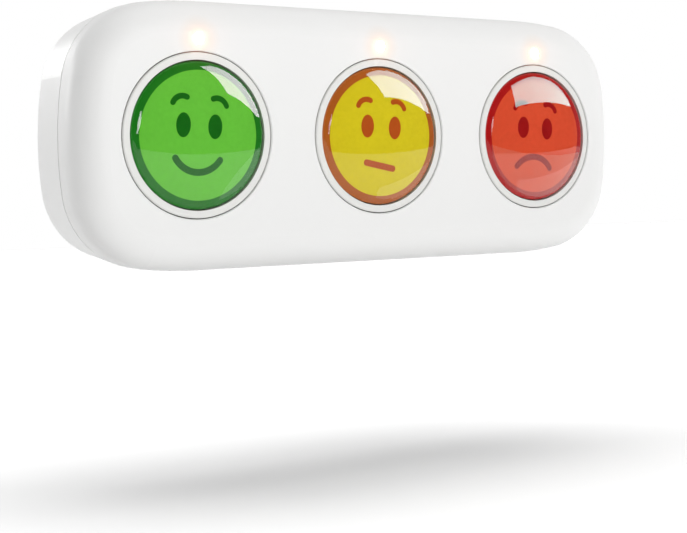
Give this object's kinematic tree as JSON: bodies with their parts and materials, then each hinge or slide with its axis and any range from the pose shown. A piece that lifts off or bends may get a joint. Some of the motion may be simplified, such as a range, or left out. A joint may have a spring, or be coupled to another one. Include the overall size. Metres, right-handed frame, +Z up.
{
  "type": "customer feedback button terminal",
  "caption": "wall-hung white terminal with domed push buttons that carry green, yellow and red faces, an indicator lamp above each",
  "frame": {"origin": "centre of the wall plate's back face, in the wall plane", "axes": "+X right for a person facing the terminal, +Y into the wall, +Z up"},
  "size_m": [0.2536, 0.049, 0.0994],
  "materials": {
    "white_shell": "satin",
    "white_ring": "polished",
    "clear_dome": "polished",
    "print_green": "satin",
    "print_yellow": "satin",
    "print_red": "satin",
    "plunger_green": "satin",
    "plunger_yellow": "satin",
    "plunger_red": "satin",
    "guide_plastic": "matte",
    "spring_steel": "bright",
    "seal_rubber": "matte",
    "screw_steel": "zinc plated",
    "switch_black": "matte",
    "stem_white": "matte",
    "clear_pipe": "polished",
    "lamp_warm": "emissive",
    "board_green": "satin",
    "chip_black": "matte",
    "shield_steel": "bright",
    "antenna_white": "matte",
    "cell_wrap": "satin",
    "contact_nickel": "nickel plated",
    "plate_zinc": "zinc plated"
  },
  "bodies": {
    "housing": {"front_cover": "white_shell", "rear_cover": "white_shell", "battery_door": "white_shell", "housing_gasket": "seal_rubber", "housing_screws": "screw_steel", "guide_screws": "screw_steel", "board_screws": "screw_steel", "door_screws": "screw_steel", "lock_screw": "screw_steel", "main_board": "board_green", "controller_chip": "chip_black", "small_parts": "chip_black", "radio_module": "shield_steel", "antenna": "antenna_white", "sim_holder": "shield_steel", "contact_minus": "contact_nickel", "contact_plus": "contact_nickel", "contact_bridge": "contact_nickel", "wall_plate": "plate_zinc", "hanging_stud_left": "screw_steel", "hanging_stud_right": "screw_steel", "battery_cell_1": "cell_wrap", "battery_cell_2": "cell_wrap", "battery_cell_3": "cell_wrap", "battery_cell_4": "cell_wrap", "bezel_ring_green": "white_ring", "button_guide_green": "guide_plastic", "return_spring_green": "spring_steel", "switch_body_green": "switch_black", "light_pipe_green": "clear_pipe", "indicator_lamp_green": "lamp_warm", "bezel_ring_yellow": "white_ring", "button_guide_yellow": "guide_plastic", "return_spring_yellow": "spring_steel", "switch_body_yellow": "switch_black", "light_pipe_yellow": "clear_pipe", "indicator_lamp_yellow": "lamp_warm", "bezel_ring_red": "white_ring", "button_guide_red": "guide_plastic", "return_spring_red": "spring_steel", "switch_body_red": "switch_black", "light_pipe_red": "clear_pipe", "indicator_lamp_red": "lamp_warm"},
    "button_green": {"dome_lens_green": "clear_dome", "face_insert_green": "print_green", "plunger_green": "plunger_green"},
    "stem_green": {"switch_stem_green": "stem_white"},
    "button_yellow": {"dome_lens_yellow": "clear_dome", "face_insert_yellow": "print_yellow", "plunger_yellow": "plunger_yellow"},
    "stem_yellow": {"switch_stem_yellow": "stem_white"},
    "button_red": {"dome_lens_red": "clear_dome", "face_insert_red": "print_red", "plunger_red": "plunger_red"},
    "stem_red": {"switch_stem_red": "stem_white"}
  },
  "joints": [
    {"name": "press_green", "type": "slide", "parent": "housing", "child": "button_green", "axis": [0, 1, 0], "range_m": [0, 0.0025], "stiffness_N_per_m": 600, "springref_m": -0.002, "deforming": ["return_spring_green"]},
    {"name": "switch_green", "type": "slide", "parent": "housing", "child": "stem_green", "axis": [0, 1, 0], "range_m": [0, 0.0025], "stiffness_N_per_m": 100, "springref_m": -0.001},
    {"name": "press_yellow", "type": "slide", "parent": "housing", "child": "button_yellow", "axis": [0, 1, 0], "range_m": [0, 0.0025], "stiffness_N_per_m": 600, "springref_m": -0.002, "deforming": ["return_spring_yellow"]},
    {"name": "switch_yellow", "type": "slide", "parent": "housing", "child": "stem_yellow", "axis": [0, 1, 0], "range_m": [0, 0.0025], "stiffness_N_per_m": 100, "springref_m": -0.001},
    {"name": "press_red", "type": "slide", "parent": "housing", "child": "button_red", "axis": [0, 1, 0], "range_m": [0, 0.0025], "stiffness_N_per_m": 600, "springref_m": -0.002, "deforming": ["return_spring_red"]},
    {"name": "switch_red", "type": "slide", "parent": "housing", "child": "stem_red", "axis": [0, 1, 0], "range_m": [0, 0.0025], "stiffness_N_per_m": 100, "springref_m": -0.001}
  ],
  "couplings": [
    {"joint": "switch_green", "follows": "press_green", "ratio": 1},
    {"joint": "switch_yellow", "follows": "press_yellow", "ratio": 1},
    {"joint": "switch_red", "follows": "press_red", "ratio": 1}
  ]
}
